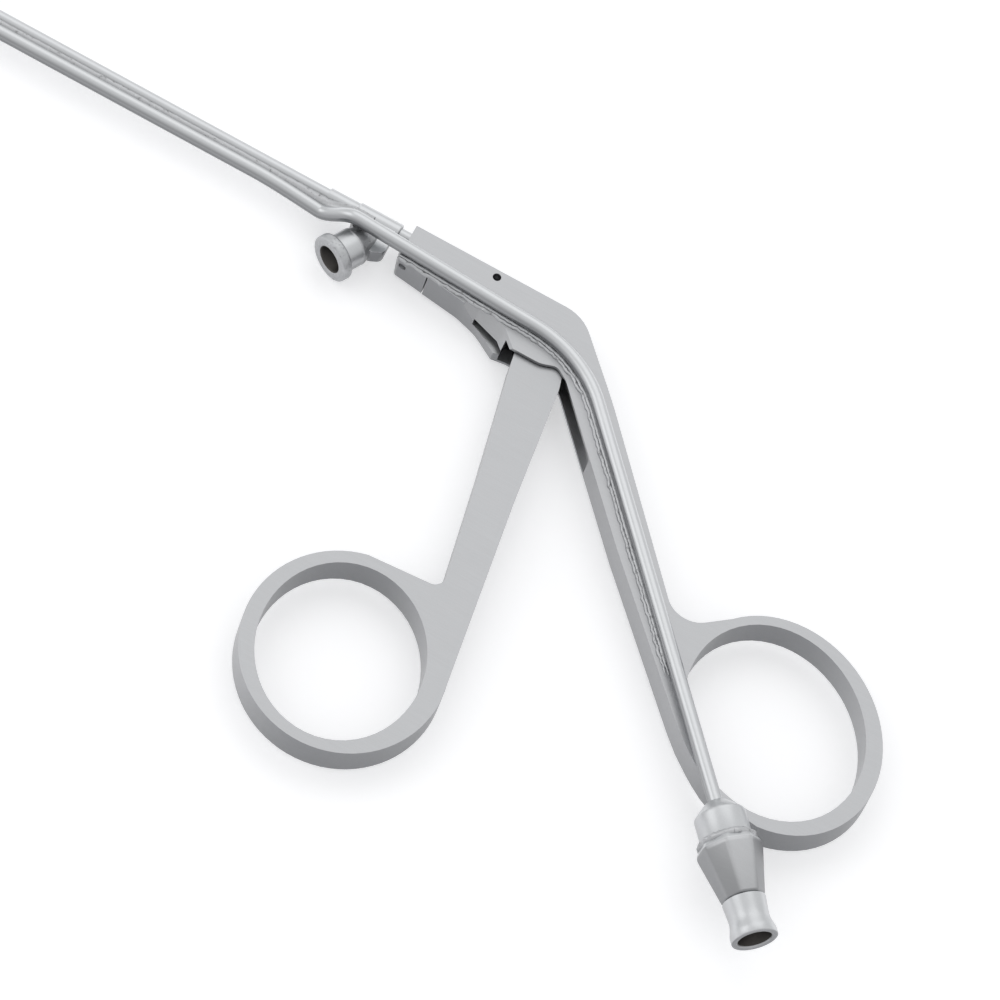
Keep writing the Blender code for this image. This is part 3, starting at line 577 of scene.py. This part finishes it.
tubeLine = tubePoints(tubeSizes)
suctionTube = curveTube("suctionTube", tubeLine, tubeSizes["radius"])
closeMesh(suctionTube)
tubeWall = suctionTube.modifiers.new("wall", "SOLIDIFY")
tubeWall.thickness = tubeSizes["wall"] * mm
tubeWall.offset = -1.0
applyModifiers(suctionTube)
shadeSmooth(suctionTube, 50.0)
finishPiece(suctionTube, "frame", "tubeSteel", "bright_steel", "suction_tube")
print("suction tube made")


# Suction connector

connectorSizes = {"ferrule": 6.2, "cone": 9.9, "seat": 0.1, "tilt": 18.4, "coneEdge": 0.5,
                  "shoulder": 1.6, "boreInside": 2.66, "boreTo": 6.22}
connectorTurn = math.radians(tubeSizes["angle"])
connectorAxis = Vector((math.cos(connectorTurn), math.sin(connectorTurn), 0))
connectorAway = Vector((connectorAxis.y, -connectorAxis.x, 0))
connectorStart = Vector((*tubeSizes["entry"], tubeSizes["level"]))
ferruleRings = [(0, 1.25), (0, 1.68), (0.06, 1.8), (1.3, 3.12), (2.0, 3.82), (2.15, 3.93),
                (2.35, 3.99), (2.6, 4.0), (6.05, 4.0), (6.15, 3.96), (6.2, 3.85), (6.2, 1.25),
                (0, 1.25)]
ferrule = turnPiece("ferrule", ferruleRings, connectorStart, connectorAxis)
shadeSmooth(ferrule, 40.0)
finishPiece(ferrule, "frame", "fittingSteel", "satin_steel", "connector_ferrule")

coneStart = connectorStart + connectorAxis * (connectorSizes["ferrule"] + connectorSizes["seat"])
coneTilt = math.radians(connectorSizes["tilt"])
coneEdge = connectorAway * math.sin(coneTilt) + Vector((0, 0, math.cos(coneTilt)))
coneRings = [(0, 1.25), (0, 4.3), (1.7, 5.25), (9.9, 3.4), (9.9, 1.25), (0, 1.25)]
taperBody = turnPiece("taperBody", coneRings, coneStart, connectorAxis, 8, coneEdge)
softenEdges(taperBody, connectorSizes["coneEdge"], 6, 20.0)
shadeSmooth(taperBody, 40.0)
finishPiece(taperBody, "frame", "coneSteel", "satin_steel", "connector_body")
taperBody.data.materials.append(steels["fittingSteel"])
for face in taperBody.data.polygons:  # the shoulder is as light as the ferrule
    if (face.center - coneStart * mm).dot(connectorAxis) < connectorSizes["shoulder"] * mm:
        face.material_index = 1

mouthStart = coneStart + connectorAxis * (connectorSizes["cone"] + connectorSizes["seat"])
mouthRings = [(0, 1.25), (0, 3.25), (0.06, 3.35), (0.8, 3.3), (1.6, 3.22), (2.4, 3.15),
              (3.15, 3.12), (3.7, 3.16), (4.3, 3.3), (4.9, 3.48), (5.2, 3.56), (5.45, 3.6),
              (6.25, 3.6), (6.38, 3.56), (6.45, 3.47), (6.45, 2.82), (6.4, 2.7), (6.2, 2.6),
              (1.4, 2.2), (1.1, 2.0), (1.1, 1.25), (0, 1.25)]
lockMouth = turnPiece("lockMouth", mouthRings, mouthStart, connectorAxis)
shadeSmooth(lockMouth, 40.0)
finishPiece(lockMouth, "frame", "fittingSteel", "satin_steel", "connector_mouth")
# painted shade: the rim's end face is picked by its facing and given the darker handle steel
lockMouth.data.materials.append(steels["handleSteel"])
for face in lockMouth.data.polygons:  # the rim's end face, which is darker
    if face.normal.dot(connectorAxis) > 0.4:
        face.material_index = 1
addPaintedBoreShade(lockMouth, mouthStart, connectorAxis, connectorSizes["boreInside"], 0.1,
            connectorSizes["boreTo"])
print("suction connector made")


# Solder

solderSizes = {"faceLevel": 5.2, "upper": (-3.6, 60.0), "lower": (-3.6, 66.0), "aside": 1.0,
               "radius": 0.62, "lowerRadius": 0.434, "ridgeAside": 1.5, "ridge": 0.34}


def alongLine(points, step):  # even steps along a route, as (place, direction)
    samples, wanted, total = [], 0.0, 0.0
    for before, after in zip(points, points[1:]):
        length = (after - before).length
        while wanted <= total + length:
            samples.append((before.lerp(after, (wanted - total) / length),
                            (after - before).normalized()))
            wanted += step
        total += length
    return samples


def addBead(name, points, radii, lump, lumpSize):  # a ragged bead of solder
    bead = curveTube(name, points, 1.0, 5, radii, caps=True)
    closeMesh(bead)
    clouds = bpy.data.textures.new(name + "Lumps", "CLOUDS")
    clouds.noise_scale = lumpSize * mm
    lumps = bead.modifiers.new("lumps", "DISPLACE")
    lumps.texture = clouds
    lumps.strength = lump * mm
    applyModifiers(bead)
    shadeSmooth(bead, 60.0)
    return finishPiece(bead, "frame", "solderSteel", "satin_steel")


def besideTube(stretch, aside, radius, ragged, seed):  # beside the tube on the near face
    chance = random.Random(seed)
    points, radii = [], []
    for place, towards in alongLine(tubeLine, 0.6):
        if stretch[0] < place.x < stretch[1]:
            across = Vector((-towards.y, towards.x, 0)).normalized()
            point = place + across * (aside + ragged * (chance.random() - 0.5))
            points.append(Vector((point.x, point.y, solderSizes["faceLevel"])))
            taper = min(1.0, 0.2 + (place.x - stretch[0]) / 1.5, 0.2 + (stretch[1] - place.x) / 3)
            radii.append(radius * taper * (1 + ragged * (chance.random() - 0.5)))
    return points, radii


addBead("upperFillet", *besideTube(solderSizes["upper"], solderSizes["aside"],
                                   solderSizes["radius"], 0.04, 3), 0.04, 1.5)
addBead("lowerFillet", *besideTube(solderSizes["lower"], -solderSizes["aside"],
                                   solderSizes["lowerRadius"], 0.1, 4), 0.08, 0.8)
addBead("ridge", *besideTube(solderSizes["lower"], -solderSizes["ridgeAside"],
                             solderSizes["ridge"], 0.3, 5), 0.12, 0.7)

seamSizes = {"stretch": (-219.0, -9.5), "collarFrom": -12.6, "collarRadius": 1.62,
             "nearer": 0.42, "widest": 1.1, "radius": 0.52, "spread": 0.5}
seamPoints, seamRadii = [], []
seamChance = random.Random(11)
for place, towards in alongLine(tubeLine, 0.7):  # between the tube and the shaft
    if seamSizes["stretch"][0] < place.x < seamSizes["stretch"][1]:
        outward = Vector((0, place.y, place.z - shaftSizes["level"]))
        reach = outward.length
        outward.normalize()
        onCollar = place.x > seamSizes["collarFrom"]
        inner = seamSizes["collarRadius"] if onCollar else shaftSizes["radius"]
        gap = reach - tubeSizes["radius"] - inner
        nearer = seamSizes["nearer"] * max(0.0, 1 - gap / 1.5)
        middle = Vector((place.x, 0, shaftSizes["level"])) + outward * (inner + gap / 2)
        middle.z += nearer + 0.05 * (seamChance.random() - 0.5)
        seamPoints.append(middle)
        seamRadii.append(min(seamSizes["widest"], seamSizes["radius"] + seamSizes["spread"]
                             * max(gap, 0.0)) * (1 + 0.1 * seamChance.random()))
addBead("shaftSeam", seamPoints, seamRadii, 0.08, 1.2)

jointSizes = {"past": 0.45, "ring": 4.0, "radius": 0.62, "ragged": 0.35, "steps": 60}
jointPoints, jointRadii = [], []
jointChance = random.Random(17)
jointPlace = connectorStart + connectorAxis * (connectorSizes["ferrule"] + jointSizes["past"])
jointSide = Vector((0, 0, 1)).cross(connectorAxis)
for part in range(jointSizes["steps"] + 1):
    angle = math.radians(360.0 * (part % jointSizes["steps"]) / jointSizes["steps"])
    jointPoints.append(jointPlace + (jointSide * math.sin(angle)
                                     + Vector((0, 0, math.cos(angle)))) * jointSizes["ring"])
    jointRadii.append(jointSizes["radius"]
                      * (1 + jointSizes["ragged"] * (jointChance.random() - 0.5)))
jointRadii[-1] = jointRadii[0]
addBead("ferruleJoint", jointPoints, jointRadii, 0.25, 0.7)

# solder cone between the port's barrel and the collar
portFilletRings = [(-3.6, 1.0), (-2.6, 1.9), (-1.6, 2.3), (-0.7, 2.55), (0.1, 2.85), (0.7, 3.06),
                   (1.0, 3.12), (1.15, 3.05), (1.15, 2.6), (-3.6, 0.6), (-3.6, 1.0)]
portFillet = turnPiece("portFillet", portFilletRings, portStart, portAxis, 72)
shadeSmooth(portFillet, 50.0)
finishPiece(portFillet, "frame", "solderSteel", "satin_steel")
print("solder laid")


# Jaws

jawPiece = {"edge": 0.05, "steps": 1, "sharper": 35.0, "smooth": 40.0}
lowerJaw = dressNode("lower_jaw", "lowerJaw", "frame", "tubeSteel", jawPiece)
upperJaw = dressNode("upper_jaw", "upperJaw", "moving_jaw", "tubeSteel", jawPiece)
print("jaws dressed")


# CAD nodes that keep their shape

keptNodes = {"nose_pin": "tubeSteel", "handle_pivot_pin": "tubeSteel", "drive_pin": "tubeSteel",
             "rod_head": "rodSteel", "rod_head_pin": "tubeSteel", "drive_rod": "rodSteel",
             "jaw_pivot_pin": "tubeSteel", "jaw_drive_pin": "tubeSteel"}
for nodeName, steel in keptNodes.items():
    nodes[nodeName].data.materials.clear()
    nodes[nodeName].data.materials.append(steels[steel])
print("small pins and the rod given their steel")


# Floor and light

floorSizes = {"level": cadBox[0].z - 0.1 * mm, "size": 8.0, "colour": (0.86, 0.86, 0.87, 1),
              "lift": 0.36}
bpy.ops.object.select_all(action="DESELECT")
bpy.ops.mesh.primitive_plane_add(size=floorSizes["size"], location=(0, 0, floorSizes["level"]))
floor = bpy.context.active_object
floor.name = "floor"
floorMaterial = bpy.data.materials.new("paleFloor")
floorMaterial.use_nodes = True
floorTree = floorMaterial.node_tree
floorShader = floorTree.nodes["Principled BSDF"]
floorShader.inputs["Base Color"].default_value = floorSizes["colour"]
floorShader.inputs["Roughness"].default_value = 0.9
floorShader.inputs["Specular IOR Level"].default_value = 0.0
lightPath = addNode(floorTree, "ShaderNodeLightPath")
seen = mathNode(floorTree, "MAXIMUM", lightPath.outputs["Is Camera Ray"],
                lightPath.outputs["Is Glossy Ray"])
seen = mathNode(floorTree, "MAXIMUM", seen, lightPath.outputs["Is Transmission Ray"])
lift = mathNode(floorTree, "MULTIPLY", seen, floorSizes["lift"])  # keeps the floor white
floorTree.links.new(lift, floorShader.inputs["Emission Strength"])
floorShader.inputs["Emission Color"].default_value = (1, 1, 1, 1)
floor.data.materials.append(floorMaterial)

studioLight = {"colour": (0.985, 0.992, 1.0, 1), "strength": 0.78}
world = bpy.data.worlds.new("studio")
bpy.context.scene.world = world
world.use_nodes = True
backdrop = world.node_tree.nodes["Background"]
backdrop.inputs["Color"].default_value = studioLight["colour"]
backdrop.inputs["Strength"].default_value = studioLight["strength"]

softLights = {
    "topLight": {"place": (-0.2, 0.75, 1.1), "aim": (0.03, -0.03, 0), "size": 1.2, "power": 1.6},
    "leftLight": {"place": (-1.1, -0.3, 0.8), "aim": (0.03, -0.03, 0), "size": 0.9, "power": 1.2},
}
for name, light in softLights.items():
    bpy.ops.object.light_add(type="AREA", location=light["place"])
    lamp = bpy.context.active_object
    lamp.name = name
    lamp.data.size = light["size"]
    lamp.data.energy = light["power"]
    lamp.rotation_mode = "QUATERNION"
    away = Vector(light["place"]) - Vector(light["aim"])
    lamp.rotation_quaternion = away.to_track_quat("Z", "Y")

bpy.context.scene.view_settings.view_transform = "Standard"
print("floor and light set")
